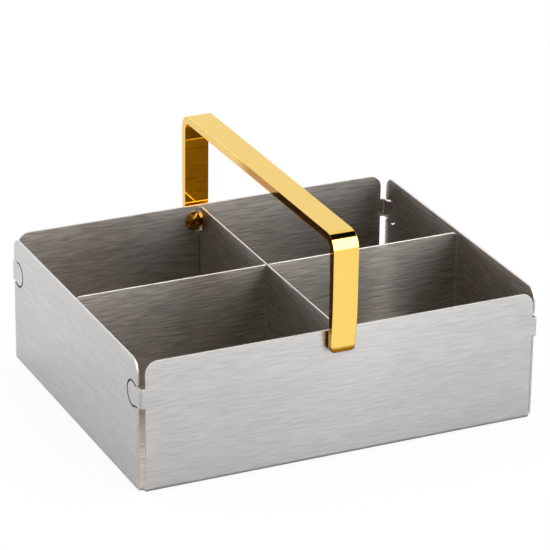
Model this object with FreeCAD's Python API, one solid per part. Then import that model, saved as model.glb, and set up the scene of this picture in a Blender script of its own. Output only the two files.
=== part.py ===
import FreeCAD, Part
import os
from FreeCAD import Vector

# Four-compartment condiment caddy: folded sheet tray, halved divider cross, swinging bar handle.
# Millimetres. +X along the long side, +Y to the rear, +Z up, origin at the middle of the base.

# ---------------------------------------------------------------- sizes of the tray
TRAY_LENGTH = 250.0
TRAY_DEPTH = 200.0
TRAY_HEIGHT = 80.0
TRAY_SHEET = 1.2
BASE_BEND_RADIUS = 2.0          # outside of the bend between base and wall
LONG_WALL_SETBACK = 3.6         # bare corner gap at each end of the front and rear walls
SHORT_WALL_SETBACK = 3.8        # bare corner gap at each end of the side walls
WALL_CORNER_RADIUS = 7.5
CORNER_RELIEF_RADIUS = 1.6      # round relief where two bends would meet in the base
CORNER_RELIEF_INSET = 0.4       # from the ends of the bends to the centre of the relief

# ---------------------------------------------------------------- corner tabs
TAB_BELOW_WALL_TOP = 22.0       # to the middle of the tab
TAB_NECK_HEIGHT = 11.5
TAB_HEAD_RADIUS = 7.0
TAB_HEAD_DISTANCE = 10.5        # head centre, from the outside of the long wall
TAB_BEND_RADIUS = 2.2           # outside of the bend
TAB_GAP = 1.1                   # clearance all round the tab in its notch
NOTCH_LIP_RADIUS = 1.0

# ---------------------------------------------------------------- dividers
DIVIDER_SHEET = 1.0
DIVIDER_TOP_BELOW_WALL = 0.5
DIVIDER_END_GAP = 0.5           # divider end to the inside of the wall
DIVIDER_TOP_RADIUS = 3.0
DIVIDER_FOOT_RADIUS = 1.5       # clears the inside of the bends between base and walls
LONG_DIVIDER_Y = 0.0
CROSS_DIVIDER_X = -2.3
HALVING_SIDE_CLEARANCE = 0.25   # each side of the sheet in its slot
HALVING_DEPTH_CLEARANCE = 0.3   # between the two slot roots
SCREW_NOTCH_CLEARANCE = 0.8     # round the screw head
SCREW_NOTCH_CORNER_RADIUS = 1.0

# ---------------------------------------------------------------- handle
HANDLE_ABOVE_WALL = 59.2
BAR_WIDTH = 15.5
BAR_THICKNESS = 5.0
BAR_BEND_RADIUS = 10.0          # outside of the bend
BAR_EDGE_RADIUS = 0.7
LEG_BELOW_PIVOT = 2.8
LEG_CORNER_RADIUS = 3.0
HANDLE_X = -3.2

# ---------------------------------------------------------------- pivots
PIVOT_BELOW_WALL_TOP = 9.8
PIVOT_FROM_BAR_CENTRE = -2.6    # sideways, so that a hex key reaches the head beside the divider
SHOULDER_RADIUS = 2.0
PIVOT_RUNNING_CLEARANCE = 0.05
THREAD_RADIUS = 1.5
THREAD_LENGTH = 3.6
THREAD_CLEARANCE = 0.03
THREAD_END_CLEARANCE = 0.3
HEAD_RADIUS = 6.2
HEAD_HEIGHT = 3.6
HEAD_RIM_HEIGHT = 1.2
HEAD_FLAT_RADIUS = 2.4
DOME_FULLNESS = 0.62            # share of the dome's rise reached at its middle point
DOME_MIDDLE = 0.55              # that point's radius, as a share of rim radius plus flat radius
SOCKET_ACROSS_FLATS = 2.5
SOCKET_DEPTH = 1.8
SPACER_THICKNESS = 2.0
SPACER_BORE_CLEARANCE = 0.1

# ---------------------------------------------------------------- positions worked out from them
HALF_LENGTH = TRAY_LENGTH / 2
HALF_DEPTH = TRAY_DEPTH / 2
INNER_HALF_LENGTH = HALF_LENGTH - TRAY_SHEET
INNER_HALF_DEPTH = HALF_DEPTH - TRAY_SHEET
LONG_WALL_END = HALF_LENGTH - LONG_WALL_SETBACK
SHORT_WALL_END = HALF_DEPTH - SHORT_WALL_SETBACK
TAB_CENTRE_HEIGHT = TRAY_HEIGHT - TAB_BELOW_WALL_TOP
DIVIDER_TOP = TRAY_HEIGHT - DIVIDER_TOP_BELOW_WALL
DIVIDER_BOTTOM = TRAY_SHEET
DIVIDER_MIDDLE = (DIVIDER_TOP + DIVIDER_BOTTOM) / 2
PIVOT_HEIGHT = TRAY_HEIGHT - PIVOT_BELOW_WALL_TOP
HANDLE_TOP_HEIGHT = TRAY_HEIGHT + HANDLE_ABOVE_WALL
LEG_BOTTOM_HEIGHT = PIVOT_HEIGHT - LEG_BELOW_PIVOT
LEG_INNER = HALF_DEPTH + SPACER_THICKNESS
LEG_OUTER = LEG_INNER + BAR_THICKNESS
PIVOT_X = HANDLE_X + PIVOT_FROM_BAR_CENTRE
SPACER_RADIUS = LEG_BELOW_PIVOT  # flush with the end of the leg

OVERCUT = 1.0                   # how far cutting shapes reach past the metal
SAME_PLACE = 0.001              # coordinates closer than this are taken as equal
SAME_DIRECTION = 0.000001       # sine of the angle under which two lines count as parallel
CORNER_ANGLE = 0.2              # radians between two faces that meet at a real corner
FULL_TURN = 360
HEX_SIDES = 6
SIDES = (-1, 1)
AXIS_X = Vector(1, 0, 0)
AXIS_Y = Vector(0, 1, 0)
AXIS_Z = Vector(0, 0, 1)


def box(x, y, z):
    """Box between pairs of coordinates, each given in either order."""
    low = Vector(min(x), min(y), min(z))
    size = [abs(pair[1] - pair[0]) for pair in (x, y, z)]
    return Part.makeBox(size[0], size[1], size[2], low)


def rod(radius, start, length, axis):
    """Cylinder from a start point; a negative length runs against the axis."""
    direction = axis if length > 0 else axis.negative()
    return Part.makeCylinder(radius, abs(length), start, direction)


def edges_along(shape, axis, keep):
    """Straight edges parallel to an axis whose middle passes the test."""
    chosen = []
    for edge in shape.Edges:
        if not isinstance(edge.Curve, Part.Line):
            continue
        if edge.Curve.Direction.cross(axis).Length < SAME_DIRECTION and keep(edge.CenterOfMass):
            chosen.append(edge)
    return chosen


def sharp_edges(shape):
    """Edges at which two faces meet at a real corner."""
    chosen = []
    for edge in shape.Edges:
        faces = shape.ancestorsOfType(edge, Part.Face)
        if len(faces) < 2:
            continue
        middle = edge.valueAt((edge.FirstParameter + edge.LastParameter) / 2)
        normals = []
        for face in faces[:2]:
            u, v = face.Surface.parameter(middle)
            normals.append(face.normalAt(u, v))
        if normals[0].getAngle(normals[1]) > CORNER_ANGLE:
            chosen.append(edge)
    return chosen


def one_solid(shape):
    """The single closed solid that a node must be."""
    clean = shape.removeSplitter()
    if len(clean.Solids) != 1 or not clean.isValid():
        raise ValueError("a node must be one valid solid, got %d" % len(clean.Solids))
    return clean.Solids[0]


# ---------------------------------------------------------------- tray
def bend_ring(centre, axis, length, outer_radius, keep):
    """Quarter of a tube: the metal of one bend."""
    start = centre - axis * (length / 2)
    ring = rod(outer_radius, start, length, axis)
    ring = ring.cut(rod(outer_radius - TRAY_SHEET, start, length, axis))
    return ring.common(keep)


def base_plate():
    x = HALF_LENGTH - BASE_BEND_RADIUS
    y = HALF_DEPTH - BASE_BEND_RADIUS
    return box((-x, x), (-y, y), (0, TRAY_SHEET))


def long_wall(side):
    """Front or rear wall with its bend, before the hole and the tabs."""
    outer = side * HALF_DEPTH
    wall = box((-LONG_WALL_END, LONG_WALL_END), (outer, outer - side * TRAY_SHEET),
               (BASE_BEND_RADIUS, TRAY_HEIGHT))
    top = edges_along(wall, AXIS_Y, lambda middle: middle.z > TRAY_HEIGHT - OVERCUT)
    wall = wall.makeFillet(WALL_CORNER_RADIUS, top)
    centre = Vector(0, outer - side * BASE_BEND_RADIUS, BASE_BEND_RADIUS)
    keep = box((-HALF_LENGTH, HALF_LENGTH), (centre.y, outer), (0, BASE_BEND_RADIUS))
    return wall.fuse(bend_ring(centre, AXIS_X, 2 * LONG_WALL_END, BASE_BEND_RADIUS, keep))


def short_wall(side):
    """Side wall with its bend and the notches for two tabs."""
    outer = side * HALF_LENGTH
    wall = box((outer, outer - side * TRAY_SHEET), (-SHORT_WALL_END, SHORT_WALL_END),
               (BASE_BEND_RADIUS, TRAY_HEIGHT))
    top = edges_along(wall, AXIS_X, lambda middle: middle.z > TRAY_HEIGHT - OVERCUT)
    wall = wall.makeFillet(WALL_CORNER_RADIUS, top)
    for end in SIDES:
        wall = wall.cut(tab_notch(side, end))
    lips = edges_along(wall, AXIS_X, is_notch_lip)
    wall = wall.makeFillet(NOTCH_LIP_RADIUS, lips)
    centre = Vector(outer - side * BASE_BEND_RADIUS, 0, BASE_BEND_RADIUS)
    keep = box((centre.x, outer), (-HALF_DEPTH, HALF_DEPTH), (0, BASE_BEND_RADIUS))
    return wall.fuse(bend_ring(centre, AXIS_Y, 2 * SHORT_WALL_END, BASE_BEND_RADIUS, keep))


def is_notch_lip(middle):
    """True for the corners between a notch and the free end of a side wall."""
    at_end = abs(abs(middle.y) - SHORT_WALL_END) < SAME_PLACE
    return at_end and abs(middle.z - TAB_CENTRE_HEIGHT) < TAB_HEAD_RADIUS + TAB_GAP


def tab_notch(side, end):
    """Keyhole notch: a slot from the wall's end to a round hole."""
    outer = side * HALF_LENGTH
    x_start = outer + side * OVERCUT
    x_length = -side * (TRAY_SHEET + 2 * OVERCUT)
    head_y = end * (HALF_DEPTH - TAB_HEAD_DISTANCE)
    hole = rod(TAB_HEAD_RADIUS + TAB_GAP, Vector(x_start, head_y, TAB_CENTRE_HEIGHT), x_length, AXIS_X)
    half = TAB_NECK_HEIGHT / 2 + TAB_GAP
    slot = box((x_start, x_start + x_length), (head_y, end * HALF_DEPTH),
               (TAB_CENTRE_HEIGHT - half, TAB_CENTRE_HEIGHT + half))
    return hole.fuse(slot)


def corner_tab(side, end):
    """Tab that leaves the end of a long wall, turns the corner and ends in a round head."""
    low = TAB_CENTRE_HEIGHT - TAB_NECK_HEIGHT / 2
    high = TAB_CENTRE_HEIGHT + TAB_NECK_HEIGHT / 2
    x_outer = side * HALF_LENGTH
    y_outer = end * HALF_DEPTH
    centre = Vector(x_outer - side * TAB_BEND_RADIUS, y_outer - end * TAB_BEND_RADIUS, TAB_CENTRE_HEIGHT)
    along_wall = box((side * LONG_WALL_END, centre.x), (y_outer, y_outer - end * TRAY_SHEET), (low, high))
    keep = box((centre.x, x_outer), (centre.y, y_outer), (low, high))
    bend = bend_ring(centre, AXIS_Z, TAB_NECK_HEIGHT, TAB_BEND_RADIUS, keep)
    head_y = end * (HALF_DEPTH - TAB_HEAD_DISTANCE)
    neck = box((x_outer, x_outer - side * TRAY_SHEET), (centre.y, head_y), (low, high))
    head = rod(TAB_HEAD_RADIUS, Vector(x_outer, head_y, TAB_CENTRE_HEIGHT), -side * TRAY_SHEET, AXIS_X)
    return along_wall.multiFuse([bend, neck, head])


def corner_relief(side, end):
    """Round hole where the base, two bends and the open corner meet."""
    x = side * (HALF_LENGTH - BASE_BEND_RADIUS - CORNER_RELIEF_INSET)
    y = end * (HALF_DEPTH - BASE_BEND_RADIUS - CORNER_RELIEF_INSET)
    return rod(CORNER_RELIEF_RADIUS, Vector(x, y, -OVERCUT), BASE_BEND_RADIUS + 2 * OVERCUT, AXIS_Z)


def tray_body():
    pieces = []
    for side in SIDES:
        pieces.append(long_wall(side))
        pieces.append(short_wall(side))
        for end in SIDES:
            pieces.append(corner_tab(side, end))
    tray = base_plate().multiFuse(pieces)
    for side in SIDES:
        for end in SIDES:
            tray = tray.cut(corner_relief(side, end))
        start = Vector(PIVOT_X, side * (HALF_DEPTH + OVERCUT), PIVOT_HEIGHT)
        hole = rod(SHOULDER_RADIUS + PIVOT_RUNNING_CLEARANCE, start, -side * (TRAY_SHEET + 2 * OVERCUT), AXIS_Y)
        tray = tray.cut(hole)
    return one_solid(tray)


# ---------------------------------------------------------------- dividers
def long_divider():
    """Plate along X with a halving slot open at the top."""
    half = INNER_HALF_LENGTH - DIVIDER_END_GAP
    y_faces = (LONG_DIVIDER_Y - DIVIDER_SHEET / 2, LONG_DIVIDER_Y + DIVIDER_SHEET / 2)
    plate = box((-half, half), y_faces, (DIVIDER_BOTTOM, DIVIDER_TOP))
    top = edges_along(plate, AXIS_Y, lambda middle: middle.z > DIVIDER_TOP - OVERCUT)
    plate = plate.makeFillet(DIVIDER_TOP_RADIUS, top)
    feet = edges_along(plate, AXIS_Y, lambda middle: middle.z < DIVIDER_BOTTOM + OVERCUT)
    plate = plate.makeFillet(DIVIDER_FOOT_RADIUS, feet)
    reach = DIVIDER_SHEET / 2 + HALVING_SIDE_CLEARANCE
    slot = box((CROSS_DIVIDER_X - reach, CROSS_DIVIDER_X + reach),
               (y_faces[0] - OVERCUT, y_faces[1] + OVERCUT),
               (DIVIDER_MIDDLE - HALVING_DEPTH_CLEARANCE / 2, DIVIDER_TOP + OVERCUT))
    return one_solid(plate.cut(slot))


def screw_notch(side, x_faces):
    """Notch in the end of the cross divider that a screw head sits in."""
    half = HEAD_RADIUS + SCREW_NOTCH_CLEARANCE
    inner = side * (INNER_HALF_DEPTH - HEAD_HEIGHT - SCREW_NOTCH_CLEARANCE)
    outer = side * HALF_DEPTH
    notch = box((x_faces[0] - OVERCUT, x_faces[1] + OVERCUT), (inner, outer),
                (PIVOT_HEIGHT - half, PIVOT_HEIGHT + half))
    roots = edges_along(notch, AXIS_X, lambda middle: abs(middle.y - inner) < SAME_PLACE)
    return notch.makeFillet(SCREW_NOTCH_CORNER_RADIUS, roots)


def cross_divider():
    """Plate along Y with a halving slot open at the bottom and a notch for each screw head."""
    half = INNER_HALF_DEPTH - DIVIDER_END_GAP
    x_faces = (CROSS_DIVIDER_X - DIVIDER_SHEET / 2, CROSS_DIVIDER_X + DIVIDER_SHEET / 2)
    plate = box(x_faces, (-half, half), (DIVIDER_BOTTOM, DIVIDER_TOP))
    top = edges_along(plate, AXIS_X, lambda middle: middle.z > DIVIDER_TOP - OVERCUT)
    plate = plate.makeFillet(DIVIDER_TOP_RADIUS, top)
    feet = edges_along(plate, AXIS_X, lambda middle: middle.z < DIVIDER_BOTTOM + OVERCUT)
    plate = plate.makeFillet(DIVIDER_FOOT_RADIUS, feet)
    reach = DIVIDER_SHEET / 2 + HALVING_SIDE_CLEARANCE
    slot = box((x_faces[0] - OVERCUT, x_faces[1] + OVERCUT),
               (LONG_DIVIDER_Y - reach, LONG_DIVIDER_Y + reach),
               (DIVIDER_BOTTOM - OVERCUT, DIVIDER_MIDDLE + HALVING_DEPTH_CLEARANCE / 2))
    plate = plate.cut(slot)
    for side in SIDES:
        plate = plate.cut(screw_notch(side, x_faces))
    return one_solid(plate)


# ---------------------------------------------------------------- handle and pivots
def handle():
    """Flat bar bent to a U, with a blind threaded hole in the inner face of each leg."""
    x_faces = (HANDLE_X - BAR_WIDTH / 2, HANDLE_X + BAR_WIDTH / 2)
    outer = box(x_faces, (-LEG_OUTER, LEG_OUTER), (LEG_BOTTOM_HEIGHT, HANDLE_TOP_HEIGHT))
    top = edges_along(outer, AXIS_X, lambda middle: middle.z > HANDLE_TOP_HEIGHT - OVERCUT)
    outer = outer.makeFillet(BAR_BEND_RADIUS, top)
    under = HANDLE_TOP_HEIGHT - BAR_THICKNESS
    inner = box((x_faces[0] - OVERCUT, x_faces[1] + OVERCUT), (-LEG_INNER, LEG_INNER),
                (LEG_BOTTOM_HEIGHT - OVERCUT, under))
    top = edges_along(inner, AXIS_X, lambda middle: middle.z > under - OVERCUT)
    inner = inner.makeFillet(BAR_BEND_RADIUS - BAR_THICKNESS, top)
    bar = outer.cut(inner)
    feet = edges_along(bar, AXIS_Y, lambda middle: middle.z < LEG_BOTTOM_HEIGHT + OVERCUT)
    bar = bar.makeFillet(LEG_CORNER_RADIUS, feet)
    bar = bar.makeFillet(BAR_EDGE_RADIUS, sharp_edges(bar))
    depth = THREAD_LENGTH + THREAD_END_CLEARANCE
    for side in SIDES:
        start = Vector(PIVOT_X, side * (LEG_INNER - OVERCUT), PIVOT_HEIGHT)
        bar = bar.cut(rod(THREAD_RADIUS + THREAD_CLEARANCE, start, side * (depth + OVERCUT), AXIS_Y))
    return one_solid(bar)


def hex_socket(start, length):
    """Hexagonal prism along Y."""
    direction = AXIS_Z * (SOCKET_ACROSS_FLATS / 3 ** 0.5)
    turn = FreeCAD.Rotation(AXIS_Y, FULL_TURN / HEX_SIDES)
    points = []
    for _ in range(HEX_SIDES):
        points.append(start + direction)
        direction = turn.multVec(direction)
    points.append(points[0])
    return Part.Face(Part.makePolygon(points)).extrude(AXIS_Y * length)


def domed_head(side):
    """Low dome with an upright rim, standing on the inside of the wall."""
    arc_rise = (HEAD_HEIGHT - HEAD_RIM_HEIGHT) * DOME_FULLNESS
    arc_reach = (HEAD_RADIUS + HEAD_FLAT_RADIUS) * DOME_MIDDLE
    base = [Vector(0, 0, 0), Vector(HEAD_RADIUS, 0, 0), Vector(HEAD_RADIUS, HEAD_RIM_HEIGHT, 0)]
    arc_middle = Vector(arc_reach, HEAD_RIM_HEIGHT + arc_rise, 0)
    flat = Vector(HEAD_FLAT_RADIUS, HEAD_HEIGHT, 0)
    top = Vector(0, HEAD_HEIGHT, 0)
    edges = [Part.makeLine(base[0], base[1]), Part.makeLine(base[1], base[2]),
             Part.Arc(base[2], arc_middle, flat).toShape(),
             Part.makeLine(flat, top), Part.makeLine(top, base[0])]
    head = Part.Face(Part.Wire(edges)).revolve(Vector(0, 0, 0), AXIS_Y, FULL_TURN)
    if side > 0:
        head.rotate(Vector(0, 0, 0), AXIS_X, FULL_TURN / 2)
    head.translate(Vector(PIVOT_X, side * INNER_HALF_DEPTH, PIVOT_HEIGHT))
    return head


def handle_screw(side):
    """Shoulder screw put in from inside the tray."""
    seat = side * INNER_HALF_DEPTH
    start = Vector(PIVOT_X, seat, PIVOT_HEIGHT)
    shoulder = rod(SHOULDER_RADIUS, start, side * (TRAY_SHEET + SPACER_THICKNESS), AXIS_Y)
    thread_start = Vector(PIVOT_X, side * LEG_INNER, PIVOT_HEIGHT)
    thread = rod(THREAD_RADIUS, thread_start, side * THREAD_LENGTH, AXIS_Y)
    socket_start = Vector(PIVOT_X, seat - side * (HEAD_HEIGHT + OVERCUT), PIVOT_HEIGHT)
    socket = hex_socket(socket_start, side * (SOCKET_DEPTH + OVERCUT))
    return one_solid(domed_head(side).cut(socket).multiFuse([shoulder, thread]))


def pivot_spacer(side):
    """Ring that holds the leg clear of the wall."""
    start = Vector(PIVOT_X, side * HALF_DEPTH, PIVOT_HEIGHT)
    ring = rod(SPACER_RADIUS, start, side * SPACER_THICKNESS, AXIS_Y)
    bore_start = Vector(PIVOT_X, side * (HALF_DEPTH - OVERCUT), PIVOT_HEIGHT)
    bore = rod(SHOULDER_RADIUS + SPACER_BORE_CLEARANCE, bore_start,
               side * (SPACER_THICKNESS + 2 * OVERCUT), AXIS_Y)
    return one_solid(ring.cut(bore))


def main():
    os.makedirs("parts", exist_ok=True)
    nodes = {
        "tray_body": tray_body(),
        "long_divider": long_divider(),
        "cross_divider": cross_divider(),
        "handle": handle(),
        "screw_front": handle_screw(-1),
        "screw_rear": handle_screw(1),
        "spacer_front": pivot_spacer(-1),
        "spacer_rear": pivot_spacer(1),
    }
    for name, shape in nodes.items():
        shape.exportStep("parts/%s.step" % name)
        bounds = shape.BoundBox
        print(name, "volume", round(shape.Volume, 1), "x", round(bounds.XMin, 2), round(bounds.XMax, 2),
              "y", round(bounds.YMin, 2), round(bounds.YMax, 2), "z", round(bounds.ZMin, 2), round(bounds.ZMax, 2))


main()
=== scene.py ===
import math

import bmesh
import bpy
from bpy.props import FloatProperty, FloatVectorProperty, IntProperty, PointerProperty
from mathutils import Matrix, Vector
from mathutils.bvhtree import BVHTree


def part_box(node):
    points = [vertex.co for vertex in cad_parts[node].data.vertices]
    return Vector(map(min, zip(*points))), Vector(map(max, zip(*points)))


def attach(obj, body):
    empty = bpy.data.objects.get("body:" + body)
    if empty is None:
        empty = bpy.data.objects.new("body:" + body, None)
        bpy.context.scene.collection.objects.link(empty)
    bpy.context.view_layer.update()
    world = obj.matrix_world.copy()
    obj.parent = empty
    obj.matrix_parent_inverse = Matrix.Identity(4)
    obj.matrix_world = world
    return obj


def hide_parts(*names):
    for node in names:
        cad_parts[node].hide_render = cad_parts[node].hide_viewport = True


bl_info = {
    "name": "Condiment caddy",
    "version": (1, 0, 0),
    "blender": (4, 5, 0),
    "location": "3D View > Sidebar > Caddy",
    "description": "Brushed sheet tray, crossed dividers and a polished bar handle round their packed solids",
    "category": "Object",
}

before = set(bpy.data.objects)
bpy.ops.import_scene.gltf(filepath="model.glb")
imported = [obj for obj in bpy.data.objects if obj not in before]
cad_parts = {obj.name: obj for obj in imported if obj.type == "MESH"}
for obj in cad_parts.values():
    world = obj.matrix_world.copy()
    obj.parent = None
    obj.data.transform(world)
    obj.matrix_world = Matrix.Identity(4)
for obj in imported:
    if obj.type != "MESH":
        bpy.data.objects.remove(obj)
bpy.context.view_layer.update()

MM = 0.001
FULL_TURN = math.tau
WELD = 0.001 * MM                       # points of a copied solid closer than this are one
FLAT_ANGLE = math.radians(0.5)          # faces that meet flatter than this are one flat face
CORNER_ANGLE = math.radians(30.0)       # an edge that turns more than this is a cut edge

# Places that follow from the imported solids
TRAY_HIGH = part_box("tray_body")[1]
HANDLE_LOW, HANDLE_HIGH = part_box("handle")
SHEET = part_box("long_divider")[0].z
LEG_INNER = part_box("spacer_rear")[1].y
LEG_OUTER = HANDLE_HIGH.y
BAR = LEG_OUTER - LEG_INNER             # thickness of the handle's bar


# ---------------------------------------------------------------- settings
class CaddySheetSettings(bpy.types.PropertyGroup):
    """Sheet metal of the tray and the dividers."""
    edge_break: FloatProperty(
        name="Edge break", description="Radius that deburring leaves on the cut edges",
        default=0.42 * MM, min=0.0, subtype="DISTANCE", unit="LENGTH", precision=5)
    edge_steps: IntProperty(
        name="Edge steps", description="Faces across a broken edge", default=3, min=1, max=6)
    edge_colour: FloatVectorProperty(
        name="Edge colour", description="Reflection of the cut and deburred edges, seen square on",
        default=(0.9, 0.875, 0.84), size=3, min=0.0, max=1.0, subtype="COLOR")
    colour: FloatVectorProperty(
        name="Steel colour", description="Reflection of the brushed sheet, seen square on",
        default=(0.447, 0.44, 0.43), size=3, min=0.0, max=1.0, subtype="COLOR")
    inside_colour: FloatVectorProperty(
        name="Inside colour", description="The same on the inside of the tray and on the dividers",
        default=(0.478, 0.447, 0.416), size=3, min=0.0, max=1.0, subtype="COLOR")
    roughness: FloatProperty(
        name="Roughness", description="Roughness of the brushed sheet",
        default=0.3, min=0.0, max=1.0, subtype="FACTOR")
    stroke_length: FloatProperty(
        name="Stroke length", description="Typical length of one brushed stroke",
        default=16.0 * MM, min=0.1 * MM, subtype="DISTANCE", unit="LENGTH")
    stroke_width: FloatProperty(
        name="Stroke width", description="Typical width of one brushed stroke",
        default=1.0 * MM, min=0.01 * MM, subtype="DISTANCE", unit="LENGTH", precision=5)


class CaddyHandleSettings(bpy.types.PropertyGroup):
    """Bar handle, its screws and its spacers."""
    bend_radius: FloatProperty(
        name="Bend radius", description="Outside radius of the two bends",
        default=10.0 * MM, min=5.0 * MM, subtype="DISTANCE", unit="LENGTH")
    bend_steps: IntProperty(
        name="Bend steps", description="Faces round each bend", default=28, min=4, max=96)
    edge_radius: FloatProperty(
        name="Edge radius", description="Rounding along the bar's four edges",
        default=0.7 * MM, min=0.05 * MM, subtype="DISTANCE", unit="LENGTH", precision=4)
    foot_radius: FloatProperty(
        name="Foot radius", description="Rounding of the corners at the legs' lower ends",
        default=3.0 * MM, min=0.1 * MM, subtype="DISTANCE", unit="LENGTH")
    foot_edge: FloatProperty(
        name="Foot edge", description="Rounding of the legs' lower ends towards their outer faces",
        default=3.4 * MM, min=0.1 * MM, subtype="DISTANCE", unit="LENGTH", precision=4)
    colour: FloatVectorProperty(
        name="Gold colour", description="Reflection of the polished gold tone, seen square on",
        default=(0.97, 0.665, 0.155), size=3, min=0.0, max=1.0, subtype="COLOR")
    # painted shade and reflection: deep amber on the bar's inner face and at its feet
    inner_shade_colour: FloatVectorProperty(
        name="Inner colour", description="Deeper amber on the inner side of the bar",
        default=(1.0, 0.42, 0.005), size=3, min=0.0, max=1.0, subtype="COLOR")
    # painted shade: the screws' and spacers' gold is darkened to a deep brown
    screw_shade_colour: FloatVectorProperty(
        name="Screw colour", description="Browner gold tone of the screws and their spacers",
        default=(0.25, 0.12, 0.012), size=3, min=0.0, max=1.0, subtype="COLOR")
    roughness: FloatProperty(
        name="Roughness", description="Roughness of the polished bar",
        default=0.03, min=0.0, max=1.0, subtype="FACTOR")
    screw_roughness: FloatProperty(
        name="Screw roughness", description="Roughness of the screws and their spacers",
        default=0.1, min=0.0, max=1.0, subtype="FACTOR")


class CaddyStageSettings(bpy.types.PropertyGroup):
    """Floor, surroundings and camera."""
    azimuth: FloatProperty(
        name="Azimuth", description="Camera's turn about the upright axis",
        default=math.radians(-24.946), subtype="ANGLE", unit="ROTATION")
    elevation: FloatProperty(
        name="Elevation", description="Camera's height above the horizon",
        default=math.radians(23.498), subtype="ANGLE", unit="ROTATION")
    roll: FloatProperty(
        name="Roll", description="Camera's tilt about its own line of sight",
        default=math.radians(0.712), subtype="ANGLE", unit="ROTATION")
    distance: FloatProperty(
        name="Distance", description="Camera to the middle of the caddy",
        default=1995.7 * MM, subtype="DISTANCE", unit="LENGTH")
    aim_right: FloatProperty(
        name="Aim right", description="Sideways offset of the camera from the middle of the base",
        default=2.637 * MM, subtype="DISTANCE", unit="LENGTH", precision=4)
    aim_up: FloatProperty(
        name="Aim up", description="Upward offset of the camera from the middle of the base",
        default=66.193 * MM, subtype="DISTANCE", unit="LENGTH", precision=4)
    focal_length: FloatProperty(
        name="Focal length", description="On a 36 mm sensor, in millimetres", default=218.4, min=10.0)
    floor_colour: FloatVectorProperty(
        name="Floor colour", description="Plain pale floor",
        default=(0.92, 0.92, 0.92), size=3, min=0.0, max=1.0, subtype="COLOR")
    floor_size: FloatProperty(
        name="Floor size", description="Side of the square floor",
        default=6.0, min=1.0, subtype="DISTANCE", unit="LENGTH")
    surround_colour: FloatVectorProperty(
        name="Surround colour", description="White walls of the light tent",
        default=(1.0, 1.0, 1.0), size=3, min=0.0, max=1.0, subtype="COLOR")
    soft_strength: FloatProperty(
        name="Soft light", description="Even light on matt surfaces", default=1.15, min=0.0)
    surround_strength: FloatProperty(
        name="Surround strength", description="Brightness of the light tent behind and beside the caddy",
        default=0.95, min=0.0)
    panel_strength: FloatProperty(
        name="Panel strength", description="Brightness of the front right light panel, near the floor",
        default=4.3, min=0.0)
    panel_high_strength: FloatProperty(
        name="Panel high strength", description="Brightness of the same panel higher up",
        default=4.5, min=0.0)
    panel_turn: FloatProperty(
        name="Panel turn", description="Direction of the light panel, from the front to the right",
        default=math.radians(50.0), subtype="ANGLE", unit="ROTATION")
    left_strength: FloatProperty(
        name="Left strength", description="Brightness of the left rear light panel, near the floor",
        default=8.0, min=0.0)
    left_high_strength: FloatProperty(
        name="Left high strength", description="Brightness of the same panel higher up",
        default=0.7, min=0.0)
    high_start: FloatProperty(
        name="High start", description="Elevation from which the panels' higher part fades in",
        default=math.radians(1.0), subtype="ANGLE", unit="ROTATION")
    high_end: FloatProperty(
        name="High end", description="Elevation at which only the panels' higher part is left",
        default=math.radians(14.0), subtype="ANGLE", unit="ROTATION")
    left_turn: FloatProperty(
        name="Left turn", description="Direction of the left light panel, from the front to the right",
        default=math.radians(-120.0), subtype="ANGLE", unit="ROTATION")
    camera_side_strength: FloatProperty(
        name="Camera side strength", description="Brightness of the tent round the camera",
        default=0.3, min=0.0)
    camera_side_turn: FloatProperty(
        name="Camera side turn", description="Direction of the tent's camera side, from front to right",
        default=math.radians(-50.0), subtype="ANGLE", unit="ROTATION")
    ceiling_colour: FloatVectorProperty(
        name="Ceiling colour", description="Dark opening straight above the caddy",
        default=(0.005, 0.005, 0.005), size=3, min=0.0, max=1.0, subtype="COLOR")
    ceiling_start: FloatProperty(
        name="Ceiling start", description="Elevation at which the white walls end",
        default=math.radians(56.0), subtype="ANGLE", unit="ROTATION")
    ceiling_end: FloatProperty(
        name="Ceiling end", description="Elevation from which the ceiling is fully dark",
        default=math.radians(60.0), subtype="ANGLE", unit="ROTATION")


# ---------------------------------------------------------------- shader building
WHITE = (1.0, 1.0, 1.0, 1.0)


class Term:
    """A socket that takes part in arithmetic; each operation adds a Math node."""

    def __init__(self, shader, socket):
        self.shader = shader
        self.socket = socket

    def _math(self, operation, first, second):
        return self.shader.node("ShaderNodeMath", {"operation": operation}, {0: first, 1: second})

    def __add__(self, other):
        return self._math("ADD", self, other)

    def __sub__(self, other):
        return self._math("SUBTRACT", self, other)

    def __mul__(self, other):
        return self._math("MULTIPLY", self, other)

    def __rsub__(self, other):
        return self._math("SUBTRACT", other, self)

    def __abs__(self):
        return self._math("ABSOLUTE", self, 0.0)

    def __lt__(self, other):
        return self._math("LESS_THAN", self, other)

    def __gt__(self, other):
        return self._math("GREATER_THAN", self, other)

    def at_least(self, floor):
        return self._math("MAXIMUM", self, floor)

    __radd__ = __add__
    __rmul__ = __mul__


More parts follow.
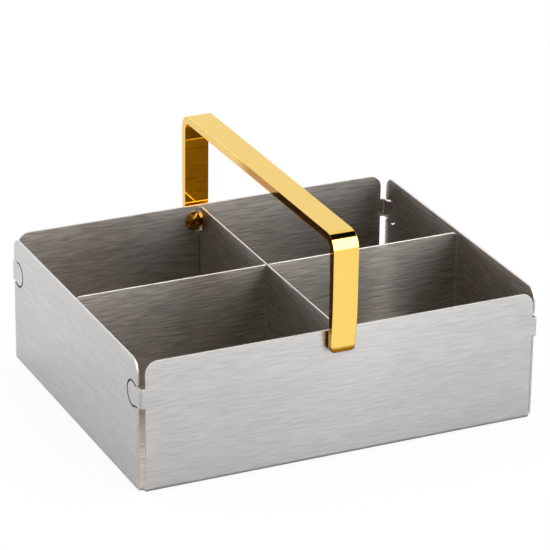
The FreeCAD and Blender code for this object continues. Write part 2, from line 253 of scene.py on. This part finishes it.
class Shader:
    """Node tree of one material or world."""

    def __init__(self, owner):
        owner.use_nodes = True
        self.tree = owner.node_tree
        self.tree.nodes.clear()

    def node(self, kind, settings=None, inputs=None, output=0):
        """Adds a node: settings first, then its sockets' values or links. Returns one output."""
        made = self.tree.nodes.new(kind)
        for name, value in (settings or {}).items():
            setattr(made, name, value)
        for name, value in (inputs or {}).items():
            if isinstance(value, Term):
                self.tree.links.new(value.socket, made.inputs[name])
            else:
                made.inputs[name].default_value = value
        return Term(self, made.outputs[output]) if made.outputs else None

    def object_point(self):
        return self.node("ShaderNodeTexCoord", output="Object")

    def across(self, vector):
        """The three numbers of a vector."""
        return [self.node("ShaderNodeSeparateXYZ", None, {"Vector": vector}, output=axis) for axis in "XYZ"]

    def noise(self, point, cell, detail, seed):
        """Noise whose cells measure cell along X, Y and Z; each pattern has its own seed."""
        placed = self.node("ShaderNodeMapping", {"vector_type": "POINT"}, {
            "Vector": point,
            "Location": (seed, seed, seed),
            "Scale": tuple(1.0 / side for side in cell)})
        return self.node("ShaderNodeTexNoise", {"noise_dimensions": "3D"}, {
            "Vector": placed, "Scale": 1.0, "Detail": detail})

    def mix_colour(self, factor, first, second):
        return self.node("ShaderNodeMix", {"data_type": "RGBA"}, {
            "Factor": factor, "A": first, "B": second}, output="Result")

    def mix_value(self, factor, first, second):
        return self.node("ShaderNodeMix", {"data_type": "FLOAT"}, {
            "Factor": factor, "A": first, "B": second}, output="Result")

    def fade(self, value, start, end):
        """Rises smoothly from 0 at start to 1 at end."""
        return self.node("ShaderNodeMapRange", {"interpolation_type": "SMOOTHSTEP"}, {
            "Value": value, "From Min": start, "From Max": end})

    def facing(self):
        """The three numbers of the direction that a face points in."""
        return self.across(self.node("ShaderNodeNewGeometry", output="True Normal"))

    def bump(self, height, distance):
        return self.node("ShaderNodeBump", None, {"Height": height, "Distance": distance})

    def surface(self, result):
        self.node("ShaderNodeOutputMaterial", None, {"Surface": result})


def rgba(colour, gain=1.0):
    return tuple(channel * gain for channel in colour) + (1.0,)


# ---------------------------------------------------------------- finishes
MIDDLE = 0.5                    # mean of every noise and of every tone
STROKE_SPREAD = (0.35, 0.65)    # noise below and above these is cut off, so that no stroke stands out
BROAD_DETAIL, BROAD_SEED = 3.0, 3.1
HAIR_SHARE = 0.45               # hair-fine strokes beside the broad ones
HAIR_LENGTH, HAIR_WIDTH = 0.6, 0.35     # shares of a broad stroke
HAIR_DETAIL, HAIR_SEED = 2.0, 7.7
CLOUD_LENGTH, CLOUD_WIDTH = 90.0 * MM, 14.0 * MM
CLOUD_DETAIL, CLOUD_SEED = 1.0, 1.3
OUTER_CONTRAST = 0.112          # how far a stroke lightens or darkens the outside
SIDE_CONTRAST = 0.11            # the same on the outside of the short walls
INNER_CONTRAST = 0.33           # the same inside, where the brushing is coarser
CLOUD_CONTRAST = 0.015          # slow tone changes over a sheet
TONE_REACH = 0.5                # darkest and palest tones lie this far below and above the colour
STROKE_DEPTH = 0.005 * MM
DIVIDER_GAIN = 1.12             # the dividers' sheet is a little paler
BEND_SHADE_DEPTH = 0.5             # painted shade darkens the outside of the bend to the base, up to this much
BEND_SHADE_BELOW, BEND_SHADE_UP_TO = 0.9 * MM, 2.8 * MM   # fully shaded below, plain above
WALL_CROWN = 1.2                # tilt of a wall's face, per metre of height from its middle
SIDE_TWIST = 0.6                # tilt of the short walls' faces, per metre of depth
FRONT_CREST = 15.0 * MM         # where the long walls lean back most
FRONT_FALL = 0.6                # how fast that lean falls off on both sides, per metre
FRONT_LEAN = 0.012              # that greatest lean
TURNED = 0.5                    # a face's direction along an axis, beyond which it faces that axis
STEEL_ANISOTROPY = 0.8
ACROSS_THE_GRAIN = 0.25         # quarter turn: the strokes run level on the walls


def brushed_steel(name, settings, gain=1.0):
    """Straight-brushed sheet, coarser and in its own colour inside; gain makes that colour paler."""
    material = bpy.data.materials.new(name)
    shader = Shader(material)
    point = shader.object_point()
    x, y, z = shader.across(point)
    facing = shader.facing()
    short_wall, lying = abs(facing[0]) > TURNED, abs(facing[2]) > TURNED
    inside = (abs(x) < TRAY_HIGH.x - SHEET / 2) * (abs(y) < TRAY_HIGH.y - SHEET / 2) * (z > SHEET / 2)
    outside = 1.0 - inside

    def strokes(along, across, detail, seed):
        """Noise drawn out along the brushing, which runs level on walls and along X on the base."""
        on_wall = shader.noise(point, (along, along, across), detail, seed)
        on_base = shader.noise(point, (along, across, along), detail, seed)
        return shader.fade(shader.mix_value(lying, on_wall, on_base), *STROKE_SPREAD)

    length, width = settings.stroke_length, settings.stroke_width
    broad = strokes(length, width, BROAD_DETAIL, BROAD_SEED)
    hair = strokes(length * HAIR_LENGTH, width * HAIR_WIDTH, HAIR_DETAIL, HAIR_SEED)
    stroke = broad * (1.0 - HAIR_SHARE) + hair * HAIR_SHARE
    cloud = strokes(CLOUD_LENGTH, CLOUD_WIDTH, CLOUD_DETAIL, CLOUD_SEED)

    # slow bow of the outer faces, as a height along each face's own direction
    rise = z - TRAY_HIGH.z / 2
    lean = shader.mix_value(short_wall, FRONT_LEAN - abs(x - FRONT_CREST) * FRONT_FALL, y * SIDE_TWIST)
    bow = (0.0 - rise * rise * (WALL_CROWN / 2) - rise * lean) * (1.0 - lying) * outside

    contrast = shader.mix_value(
        inside, shader.mix_value(short_wall, OUTER_CONTRAST, SIDE_CONTRAST), INNER_CONTRAST)
    brushing = ((stroke - MIDDLE) * contrast + (cloud - MIDDLE) * CLOUD_CONTRAST) * (1.0 / TONE_REACH)
    # painted shade along the outside of the base bend, where the floor under the tray is hidden
    painted_bend_shade = shader.fade(z, BEND_SHADE_UP_TO, BEND_SHADE_BELOW) * outside
    tone = brushing + MIDDLE - painted_bend_shade * BEND_SHADE_DEPTH
    dark, pale = (
        shader.mix_colour(inside, rgba(settings.colour, share), rgba(settings.inside_colour, gain * share))
        for share in (1.0 - TONE_REACH, 1.0 + TONE_REACH))
    shader.surface(shader.node("ShaderNodeBsdfPrincipled", None, {
        "Base Color": shader.mix_colour(tone, dark, pale),
        "Metallic": 1.0,
        "Roughness": settings.roughness,
        "Anisotropic": STEEL_ANISOTROPY,
        "Anisotropic Rotation": ACROSS_THE_GRAIN,
        "Normal": shader.bump(stroke * STROKE_DEPTH + bow, 1.0)}))
    return material


EDGE_GRAIN = 0.4 * MM
EDGE_GRAIN_DETAIL = 2.0
EDGE_GRAIN_DEPTH = 0.01 * MM
EDGE_TONE_CHANGE = 0.15         # tone changes of the grain, as a share of the whole range
EDGE_SEED, PAINTED_SHADE_SEED = 4.4, 6.1
UPRIGHT_EDGE_SHADE = 0.5             # painted shade: the upright ends are darker than the top edges
EDGE_ROUGHNESS, END_EDGE_ROUGHNESS = 0.55, 0.85
EDGE_ROUGHNESS_CHANGE = 0.2
# painted shade: near-black cut faces inside the narrow gaps round the tabs and the notches round the screws
PAINTED_SHADE = (0.012, 0.011, 0.01, 1.0)
PAINTED_SHADE_PALE = (0.035, 0.032, 0.029, 1.0)
PAINTED_SHADE_ROUGHNESS = 0.5
PAINTED_SHADE_SHEEN = 0.2            # the painted shade mirrors little
PAINTED_SHADE_DEPTH = 0.02 * MM


def deburred_edge(name, settings):
    """Pale cut edge, rubbed smooth, with painted highlight on edges that face up and painted shade on the
    upright ends.
    """
    material = bpy.data.materials.new(name)
    shader = Shader(material)
    grain = shader.noise(shader.object_point(), (EDGE_GRAIN,) * 3, EDGE_GRAIN_DETAIL, EDGE_SEED)
    upward = shader.facing()[2].at_least(0.0)
    # painted highlight and shade by facing: edges facing up get paler, upright ends darker
    tone = grain * EDGE_TONE_CHANGE + upward * (1.0 - UPRIGHT_EDGE_SHADE - EDGE_TONE_CHANGE)
    rougher_end = (1.0 - upward) * (END_EDGE_ROUGHNESS - EDGE_ROUGHNESS)
    shader.surface(shader.node("ShaderNodeBsdfPrincipled", None, {
        "Base Color": shader.mix_colour(
            tone, rgba(settings.edge_colour, UPRIGHT_EDGE_SHADE), rgba(settings.edge_colour, 1.0 + UPRIGHT_EDGE_SHADE)),
        "Metallic": 1.0,
        "Roughness": (grain - MIDDLE) * EDGE_ROUGHNESS_CHANGE + rougher_end + EDGE_ROUGHNESS,
        "Normal": shader.bump(grain, EDGE_GRAIN_DEPTH)}))
    return material


def gap_shade_edge(name):
    """Painted shade: near-black edge in the narrow gaps round the tabs and in the notches round the screws.
    """
    material = bpy.data.materials.new(name)
    shader = Shader(material)
    grain = shader.noise(shader.object_point(), (EDGE_GRAIN,) * 3, EDGE_GRAIN_DETAIL, PAINTED_SHADE_SEED)
    shader.surface(shader.node("ShaderNodeBsdfPrincipled", None, {
        "Base Color": shader.mix_colour(grain, PAINTED_SHADE, PAINTED_SHADE_PALE),
        "Roughness": grain * EDGE_ROUGHNESS_CHANGE + PAINTED_SHADE_ROUGHNESS,
        "Specular IOR Level": PAINTED_SHADE_SHEEN,
        "Normal": shader.bump(grain, PAINTED_SHADE_DEPTH)}))
    return material


POLISH_WAVE = 9.0 * MM          # length of the faint waves that polishing leaves
POLISH_WAVE_DEPTH = 0.004 * MM
POLISH_WAVE_DETAIL, POLISH_WAVE_SEED = 1.0, 2.3
POLISH_MARK = 0.3 * MM          # size of the hair-fine marks
POLISH_MARK_DETAIL, POLISH_MARK_SEED = 3.0, 5.9
POLISH_ROUGHNESS_CHANGE = 0.03
GOLD_TONE_CHANGE = 0.06
SIDE_SHADE_GAIN = 0.82                # painted shade: the bar's narrow sides are darker than its broad faces
SIDE_DEPTH = 0.1                # share of the edge rounding that still counts as the narrow side
FRONT_SIDE_SHADE = (0.42, 0.19, 0.012, 1.0)            # deeper painted shade on those sides over the front compartments
FRONT_SIDE_SHADE_FROM, FRONT_SIDE_SHADE_TO = 30.0 * MM, 5.0 * MM      # where along the bar that painted shade fades in
FOOT_SHADE_GAIN = 0.3                 # painted shade darkens the rounding at the foot of each leg
FOOT_SHADE_SPAN = (0.8, 1.5)          # between which shares of that rounding the painted shade fades in
INNER_METAL = 0.88              # how metallic the amber side of the bar is
AMBER_DEPTH = (0.8, 0.95)       # between which shares of the bar's thickness the painted amber shade fades in


def narrow_side(settings, across):
    """1 on the two narrow sides of the bar, in every pose."""
    middle, half = (HANDLE_LOW.x + HANDLE_HIGH.x) / 2, (HANDLE_HIGH.x - HANDLE_LOW.x) / 2
    return abs(across - middle) > half - SIDE_DEPTH * settings.edge_radius


def inner_share(shader, settings, along, height):
    """From 0 on the bar's outer face to 1 on its inner face."""
    reach = (abs(along) - (LEG_OUTER - settings.bend_radius)).at_least(0.0)
    rise = (height - (HANDLE_HIGH.z - settings.bend_radius)).at_least(0.0)
    outward = shader.node("ShaderNodeVectorMath", {"operation": "LENGTH"}, {
        0: shader.node("ShaderNodeCombineXYZ", None, {"X": reach, "Y": rise})}, output="Value")
    return shader.fade(outward, *(settings.bend_radius - share * BAR for share in AMBER_DEPTH))


def polished_gold(name, settings, tone, roughness, bar=False):
    """Polished gold tone with faint waves and hair-fine marks; on the bar, painted shade deepens the sides,
    the inner face and the feet.
    """
    material = bpy.data.materials.new(name)
    shader = Shader(material)
    point = shader.object_point()
    wave = shader.noise(point, (POLISH_WAVE,) * 3, POLISH_WAVE_DETAIL, POLISH_WAVE_SEED)
    marks = shader.noise(point, (POLISH_MARK,) * 3, POLISH_MARK_DETAIL, POLISH_MARK_SEED)
    colour = shader.mix_colour(wave, rgba(tone, 1.0 - GOLD_TONE_CHANGE), rgba(tone))
    metallic = 1.0
    if bar:
        across, along, height = shader.across(point)
        # painted shade on the narrow sides, deepest over the front compartments
        deep = shader.fade(along, FRONT_SIDE_SHADE_FROM, FRONT_SIDE_SHADE_TO) * (height > TRAY_HIGH.z)
        side = shader.mix_colour(deep, rgba(settings.colour, SIDE_SHADE_GAIN), FRONT_SIDE_SHADE)
        colour = shader.mix_colour(narrow_side(settings, across), colour, side)
        # painted shade and reflection: deep amber over the inner face
        amber = inner_share(shader, settings, along, height)
        colour = shader.mix_colour(amber, colour, rgba(settings.inner_shade_colour))
        # painted shade at the foot of each leg
        foot_shade_full, foot_shade_end = (HANDLE_LOW.z + settings.foot_edge * share for share in FOOT_SHADE_SPAN)
        foot = shader.fade(height, foot_shade_end, foot_shade_full)
        colour = shader.mix_colour(foot, colour, rgba(settings.inner_shade_colour, FOOT_SHADE_GAIN))
        metallic = 1.0 - amber * (1.0 - INNER_METAL)
    shader.surface(shader.node("ShaderNodeBsdfPrincipled", None, {
        "Base Color": colour,
        "Metallic": metallic,
        "Roughness": (marks - MIDDLE) * POLISH_ROUGHNESS_CHANGE + roughness,
        "Normal": shader.bump(wave, POLISH_WAVE_DEPTH)}))
    return material


# ---------------------------------------------------------------- making pieces
QUARTER_CIRCLE = 0.5                    # bevel profile of a round edge


def finished(bm, name, materials, body, slot, *nodes):
    """Turns a bmesh into a shaded piece that rides on a body and stands for its solids."""
    mesh = bpy.data.meshes.new(name)
    bm.to_mesh(mesh)
    bm.free()
    for material in materials:
        mesh.materials.append(material)
    mesh.shade_smooth()
    piece = bpy.data.objects.new(name, mesh)
    bpy.context.scene.collection.objects.link(piece)
    shading = piece.modifiers.new("even shading", "WEIGHTED_NORMAL")
    shading.keep_sharp = True
    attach(piece, body)
    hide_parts(*nodes)
    return piece


def cut_edges(bm):
    return [edge for edge in bm.edges if edge.calc_face_angle(0.0) > CORNER_ANGLE]


def rounded(bm, edges, radius, steps):
    """Rounds edges and returns the faces of the rounding."""
    return bmesh.ops.bevel(bm, geom=edges, offset=radius, offset_type="OFFSET", affect="EDGES",
                           segments=steps, profile=QUARTER_CIRCLE, material=-1, clamp_overlap=True)["faces"]


BRUSHED, EDGE, PAINTED_SHADE_EDGE = 0, 1, 2  # material slots of a sheet
THROUGH = 2 * SHEET                     # a face with more metal than this behind it is a cut face
TAB_GAP_HEIGHT = (48.5 * MM, 67.5 * MM)     # lowest and highest point of the gaps round the tabs
TAB_GAP_END = 4.6 * MM                  # from the tray's end to where those gaps open
TAB_GAP_DEPTH = 0.6 * SHEET             # how far into the gaps the painted shade reaches
DIVIDER_NOTCH = 9.0 * MM                # length of the notches at the ends of the cross divider, whose cut faces get painted shade
DIVIDER_CORNER = 2 * SHEET              # height of the bright corner above those notches


def in_tab_gap(place):
    return (abs(place.x) > TRAY_HIGH.x - TAB_GAP_DEPTH and abs(place.y) < TRAY_HIGH.y - TAB_GAP_END
            and TAB_GAP_HEIGHT[0] < place.z < TAB_GAP_HEIGHT[1])


def in_screw_notch(place):
    return abs(place.y) > TRAY_HIGH.y - DIVIDER_NOTCH and place.z < TRAY_HIGH.z - DIVIDER_CORNER


def deburred_copy(node, settings, gap_shade):
    """Copy of a sheet's solid, merged, with its cut faces marked and their edges broken."""
    bm = bmesh.new()
    bm.from_mesh(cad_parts[node].data)
    bmesh.ops.remove_doubles(bm, verts=bm.verts, dist=WELD)
    bm.normal_update()
    solid = BVHTree.FromBMesh(bm)
    for face in bm.faces:
        through = solid.ray_cast(face.calc_center_median() - face.normal * WELD, -face.normal)[3]
        face.material_index = EDGE if through is None or through > THROUGH else BRUSHED
    bmesh.ops.dissolve_limit(bm, angle_limit=FLAT_ANGLE, verts=bm.verts, edges=bm.edges, delimit={"MATERIAL"})
    for face in rounded(bm, cut_edges(bm), settings.edge_break, settings.edge_steps):
        face.material_index = EDGE
    # painted shade on the cut faces in the tab gaps and the screw notches
    for face in bm.faces:
        if face.material_index == EDGE and gap_shade(face.calc_center_median()):
            face.material_index = PAINTED_SHADE_EDGE
    return bm


UNIT_SQUARE = 0.5                       # half a side of the square that is stretched to the section


def bar_section(bm, low, high, z):
    """Open rectangle of edges in a level plane: the section of one leg."""
    verts = bmesh.ops.create_grid(bm, x_segments=1, y_segments=1, size=UNIT_SQUARE)["verts"]
    middle = (low + high) / 2
    bmesh.ops.scale(bm, verts=verts, vec=(high.x - low.x, high.y - low.y, 1.0))
    bmesh.ops.translate(bm, verts=verts, vec=(middle.x, middle.y, z))
    bmesh.ops.delete(bm, geom=bm.faces[:], context="FACES_ONLY")
    return bm.edges[:]


def drawn(bm, edges, offset):
    """Draws a section along a straight run and returns its far edges."""
    made = bmesh.ops.extrude_edge_only(bm, edges=edges)["geom"]
    bmesh.ops.translate(bm, verts=[part for part in made if isinstance(part, bmesh.types.BMVert)], vec=offset)
    return [part for part in made if isinstance(part, bmesh.types.BMEdge)
            and abs((part.verts[1].co - part.verts[0].co).dot(offset)) < WELD * offset.length]


def bent(bm, edges, centre, steps):
    """Turns a section a quarter round a bend and returns its far edges."""
    made = bmesh.ops.spin(bm, geom=edges, cent=centre, axis=(-1.0, 0.0, 0.0), dvec=(0.0, 0.0, 0.0),
                          angle=FULL_TURN / 4, steps=steps, use_duplicate=False)
    return [part for part in made["geom_last"] if isinstance(part, bmesh.types.BMEdge)]


FOOT_STEPS = 10                         # faces across a rounding at the foot
BAR_EDGE_STEPS = 4                      # faces across one of the bar's edges


def bar_handle(settings):
    """Flat bar drawn up the front leg, over and down the rear leg, with rounded edges and feet."""
    bm = bmesh.new()
    foot, top, radius = HANDLE_LOW.z, HANDLE_HIGH.z, settings.bend_radius
    section = bar_section(
        bm, Vector((HANDLE_LOW.x, -LEG_OUTER, 0.0)), Vector((HANDLE_HIGH.x, -LEG_INNER, 0.0)), foot)
    rise = Vector((0.0, 0.0, top - radius - foot))
    section = drawn(bm, section, rise)
    section = bent(bm, section, (0.0, -LEG_OUTER + radius, top - radius), settings.bend_steps)
    section = drawn(bm, section, Vector((0.0, 2 * (LEG_OUTER - radius), 0.0)))
    section = bent(bm, section, (0.0, LEG_OUTER - radius, top - radius), settings.bend_steps)
    drawn(bm, section, -rise)
    bmesh.ops.holes_fill(bm, edges=[edge for edge in bm.edges if edge.is_boundary], sides=4)
    bmesh.ops.recalc_face_normals(bm, faces=bm.faces)
    corners = [edge for edge in bm.edges
               if all(abs(vert.co.z - foot) < WELD for vert in edge.verts)
               and abs(edge.verts[0].co.x - edge.verts[1].co.x) < WELD]
    rounded(bm, corners, settings.foot_radius, FOOT_STEPS)
    outer = [edge for edge in cut_edges(bm)
             if all(abs(abs(vert.co.y) - LEG_OUTER) < WELD and vert.co.z < foot + settings.foot_radius + WELD
                    for vert in edge.verts)]
    rounded(bm, outer, settings.foot_edge, FOOT_STEPS)
    rounded(bm, cut_edges(bm), settings.edge_radius, BAR_EDGE_STEPS)
    for vert in bm.verts:               # the roundings never stand proud of the bar
        vert.co.y = max(-LEG_OUTER, min(LEG_OUTER, vert.co.y))
    return bm


# ---------------------------------------------------------------- operators
class CADDY_OT_tray(bpy.types.Operator):
    """Dress the folded tray in brushed sheet with broken edges"""
    bl_idname = "caddy.tray"
    bl_label = "Tray"

    def execute(self, context):
        settings = context.scene.caddy_sheet
        materials = (brushed_steel("brushed sheet", settings), deburred_edge("deburred edge", settings),
                     gap_shade_edge("scorched edge"))
        finished(deburred_copy("tray_body", settings, in_tab_gap), "tray_sheet", materials,
                 "tray", "brushed_sheet", "tray_body")
        return {"FINISHED"}


class CADDY_OT_dividers(bpy.types.Operator):
    """Dress the two halved dividers in brushed sheet"""
    bl_idname = "caddy.dividers"
    bl_label = "Dividers"

    def execute(self, context):
        settings = context.scene.caddy_sheet
        materials = (brushed_steel("brushed divider sheet", settings, DIVIDER_GAIN),
                     deburred_edge("deburred divider edge", settings), gap_shade_edge("scorched divider edge"))
        for node in ("long_divider", "cross_divider"):
            finished(deburred_copy(node, settings, in_screw_notch), node + "_sheet", materials,
                     "tray", "brushed_sheet", node)
        return {"FINISHED"}


class CADDY_OT_handle(bpy.types.Operator):
    """Build the bent bar handle with rounded edges"""
    bl_idname = "caddy.handle"
    bl_label = "Handle"

    def execute(self, context):
        settings = context.scene.caddy_handle
        material = polished_gold("polished gold bar", settings, settings.colour, settings.roughness, bar=True)
        finished(bar_handle(settings), "bar_handle", (material,), "bail", "gold_bar", "handle")
        return {"FINISHED"}


class CADDY_OT_pivots(bpy.types.Operator):
    """Give the screws and spacers their finishes"""
    bl_idname = "caddy.pivots"
    bl_label = "Screws and spacers"

    def execute(self, context):
        settings = context.scene.caddy_handle
        # painted shade: screws and spacers take the darkened brown gold
        gold = polished_gold("polished gold screw", settings, settings.screw_shade_colour, settings.screw_roughness)
        for end in ("front", "rear"):
            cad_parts["screw_" + end].material_slots[0].material = gold
            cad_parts["spacer_" + end].material_slots[0].material = gold
        return {"FINISHED"}


class CADDY_OT_stage(bpy.types.Operator):
    """Set up the pale floor, the soft surroundings and the camera"""
    bl_idname = "caddy.stage"
    bl_label = "Stage"

    def execute(self, context):
        settings = context.scene.caddy_stage
        lay_floor(settings)
        surround(context.scene, settings)
        place_camera(context.scene, settings)
        context.scene.view_settings.view_transform = "Standard"
        return {"FINISHED"}


FLOOR_WHITE_SEEN = 0.9          # share of the floor that the camera sees as plain white
FLOOR_WHITE_MIRRORED = 0.15     # the same share in the metal's reflections
PANEL_EDGE = (0.35, 0.6)        # cosines from the panel's middle between which it fades in
LEFT_PANEL_EDGE = (0.5, 0.75)
CAMERA_SIDE_EDGE = (0.6, 0.85)
FLOOR_TILES = 8
CLIP_FLOORS = 2                 # how many floor sides away the camera still sees


def shown_white(shader):
    """Share of plain white in the floor, by the kind of ray that meets it."""
    path = shader.node("ShaderNodeLightPath", output="Is Camera Ray")
    mirror = shader.node("ShaderNodeLightPath", output="Is Glossy Ray")
    return path * FLOOR_WHITE_SEEN + mirror * FLOOR_WHITE_MIRRORED


def lay_floor(settings):
    """Square floor, mostly plain white to the camera so that it melts into the surroundings."""
    bm = bmesh.new()
    bmesh.ops.create_grid(bm, x_segments=FLOOR_TILES, y_segments=FLOOR_TILES, size=settings.floor_size / 2)
    mesh = bpy.data.meshes.new("floor")
    bm.to_mesh(mesh)
    bm.free()
    floor = bpy.data.objects.new("floor", mesh)
    bpy.context.scene.collection.objects.link(floor)
    material = bpy.data.materials.new("pale floor")
    shader = Shader(material)
    matt = shader.node("ShaderNodeBsdfDiffuse", None, {"Color": rgba(settings.floor_colour)})
    plain = shader.node("ShaderNodeEmission", None, {"Color": WHITE, "Strength": 1.0})
    shader.surface(shader.node("ShaderNodeMixShader", None, {0: shown_white(shader), 1: matt, 2: plain}))
    mesh.materials.append(material)


def surround(scene, settings):
    """Light tent that only mirror rays see; matt surfaces get soft light and the camera sees white."""
    world = bpy.data.worlds.new("light tent")
    scene.world = world
    shader = Shader(world)
    direction = shader.node("ShaderNodeTexCoord", output="Generated")
    height = shader.node("ShaderNodeSeparateXYZ", None, {"Vector": direction}, output="Z")
    strength = settings.surround_strength
    high = shader.fade(height, math.sin(settings.high_start), math.sin(settings.high_end))
    for turn, edge, low_part, high_part in (
            (settings.panel_turn, PANEL_EDGE, settings.panel_strength, settings.panel_high_strength),
            (settings.left_turn, LEFT_PANEL_EDGE, settings.left_strength, settings.left_high_strength),
            (settings.camera_side_turn, CAMERA_SIDE_EDGE,
             settings.camera_side_strength, settings.camera_side_strength)):
        panel = shader.mix_value(high, low_part, high_part)
        towards = shader.node("ShaderNodeVectorMath", {"operation": "DOT_PRODUCT"}, {
            0: direction, 1: (math.sin(turn), -math.cos(turn), 0.0)}, output="Value")
        strength = shader.mix_value(shader.fade(towards, *edge), strength, panel)
    opening = shader.fade(height, math.sin(settings.ceiling_start), math.sin(settings.ceiling_end))
    colour = shader.mix_colour(opening, rgba(settings.surround_colour), rgba(settings.ceiling_colour))
    tent, soft, plain = (
        shader.node("ShaderNodeBackground", None, {"Color": tone, "Strength": power})
        for tone, power in ((colour, strength), (WHITE, settings.soft_strength), (WHITE, 1.0)))
    mirror_ray = shader.node("ShaderNodeLightPath", output="Is Glossy Ray")
    camera_ray = shader.node("ShaderNodeLightPath", output="Is Camera Ray")
    lit = shader.node("ShaderNodeMixShader", None, {0: mirror_ray, 1: soft, 2: tent})
    shown = shader.node("ShaderNodeMixShader", None, {0: camera_ray, 1: lit, 2: plain})
    shader.node("ShaderNodeOutputWorld", None, {"Surface": shown})


def place_camera(scene, settings):
    """Camera that turns about the middle of the base, with its aim shifted sideways and up."""
    turn, tilt = settings.azimuth, settings.elevation
    right = Vector((math.cos(turn), math.sin(turn), 0.0))
    back = Vector((math.sin(turn) * math.cos(tilt), -math.cos(turn) * math.cos(tilt), math.sin(tilt)))
    up = back.cross(right)
    lens = bpy.data.cameras.new("camera")
    lens.lens = settings.focal_length
    lens.clip_end = settings.floor_size * CLIP_FLOORS
    camera = bpy.data.objects.new("camera", lens)
    scene.collection.objects.link(camera)
    place = right * settings.aim_right + up * settings.aim_up + back * settings.distance
    level = Matrix.Translation(place) @ Matrix((right, up, back)).transposed().to_4x4()
    camera.matrix_world = level @ Matrix.Rotation(settings.roll, 4, "Z")
    scene.camera = camera


class CADDY_PT_panel(bpy.types.Panel):
    """Sizes, colours and steps of the caddy"""
    bl_label = "Condiment caddy"
    bl_idname = "CADDY_PT_panel"
    bl_space_type = "VIEW_3D"
    bl_region_type = "UI"
    bl_category = "Caddy"

    def draw(self, context):
        for settings in (context.scene.caddy_sheet, context.scene.caddy_handle, context.scene.caddy_stage):
            box = self.layout.box()
            for name in settings.__annotations__:
                box.prop(settings, name)
        for operator in OPERATORS:
            self.layout.operator(operator.bl_idname)


SETTINGS = {
    "caddy_sheet": CaddySheetSettings,
    "caddy_handle": CaddyHandleSettings,
    "caddy_stage": CaddyStageSettings}
OPERATORS = (CADDY_OT_tray, CADDY_OT_dividers, CADDY_OT_handle, CADDY_OT_pivots, CADDY_OT_stage)


def register():
    for group in SETTINGS.values():
        bpy.utils.register_class(group)
    for operator in OPERATORS:
        bpy.utils.register_class(operator)
    bpy.utils.register_class(CADDY_PT_panel)
    for name, group in SETTINGS.items():
        setattr(bpy.types.Scene, name, PointerProperty(type=group))


def unregister():
    for name in SETTINGS:
        delattr(bpy.types.Scene, name)
    bpy.utils.unregister_class(CADDY_PT_panel)
    for operator in reversed(OPERATORS):
        bpy.utils.unregister_class(operator)
    for group in reversed(list(SETTINGS.values())):
        bpy.utils.unregister_class(group)


def main():
    register()
    bpy.ops.caddy.tray()
    bpy.ops.caddy.dividers()
    bpy.ops.caddy.handle()
    bpy.ops.caddy.pivots()
    bpy.ops.caddy.stage()


if __name__ == "__main__":
    main()
